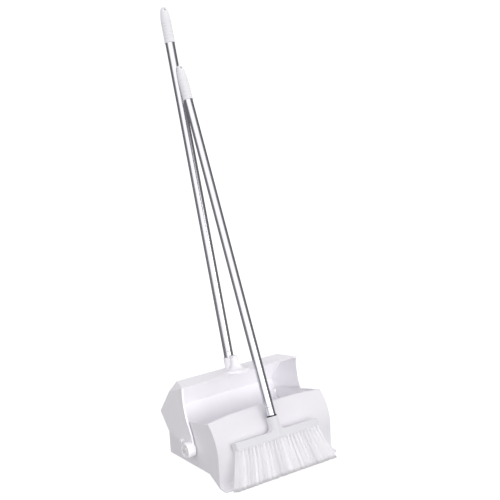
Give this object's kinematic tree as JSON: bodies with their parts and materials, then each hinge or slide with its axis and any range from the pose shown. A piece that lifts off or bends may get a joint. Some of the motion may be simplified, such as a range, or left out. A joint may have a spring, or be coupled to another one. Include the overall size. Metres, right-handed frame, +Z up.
{
  "type": "dust pan and brush set",
  "caption": "Upright hooded dust pan on a long tube handle with side pivots, and a long-handled broom with a fanned bristle head leaning on it.",
  "frame": {"origin": "middle of the footprint of the whole set, on the floor", "axes": "+Z up from the floor, +X across the pan, -Y towards the person who holds it, mouth of the pan towards +Y"},
  "size_m": [0.412, 0.5991, 1.1425],
  "materials": {
    "white_polypropylene": "satin moulded polypropylene",
    "white_grip": "soft satin moulded sleeve",
    "acetal": "smooth machined acetal",
    "bright_aluminium": "bright drawn and polished tube",
    "stainless_steel": "plain stainless",
    "anchor_wire": "flat galvanised wire",
    "white_filament": "crimped polyester filament with flagged tips",
    "black_rubber": "black rubber"
  },
  "bodies": {
    "pan": {"scoop": "white_polypropylene", "pivot_pin_left": "acetal", "pivot_pin_right": "acetal", "pivot_washer_left": "acetal", "pivot_washer_right": "acetal"},
    "hood": {"hood_shell": "white_polypropylene", "pivot_bush_left": "acetal", "pivot_bush_right": "acetal", "pan_handle_tube": "bright_aluminium", "pan_handle_plug": "acetal", "pan_handle_screw": "stainless_steel", "pan_handle_grip": "white_grip"},
    "broom": {"broom_block": "white_polypropylene", "broom_handle_plug": "acetal", "broom_seal_ring": "black_rubber", "broom_handle_tube": "bright_aluminium", "broom_handle_grip": "white_grip", "bristle_row_1": "white_filament", "bristle_row_2": "white_filament", "bristle_row_3": "white_filament", "bristle_row_4": "white_filament", "tuft_anchors": "anchor_wire"}
  },
  "joints": [
    {"name": "hood_hinge", "type": "hinge", "parent": "pan", "child": "hood", "pos_m": [0, -0.1069, 0.0583], "axis": [-1, 0, 0], "range_deg": [0, 28]},
    {"name": "broom_lift", "type": "slide", "parent": "pan", "child": "broom", "axis": [0, -0.8, 0.6], "range_m": [0, 0.62]}
  ]
}
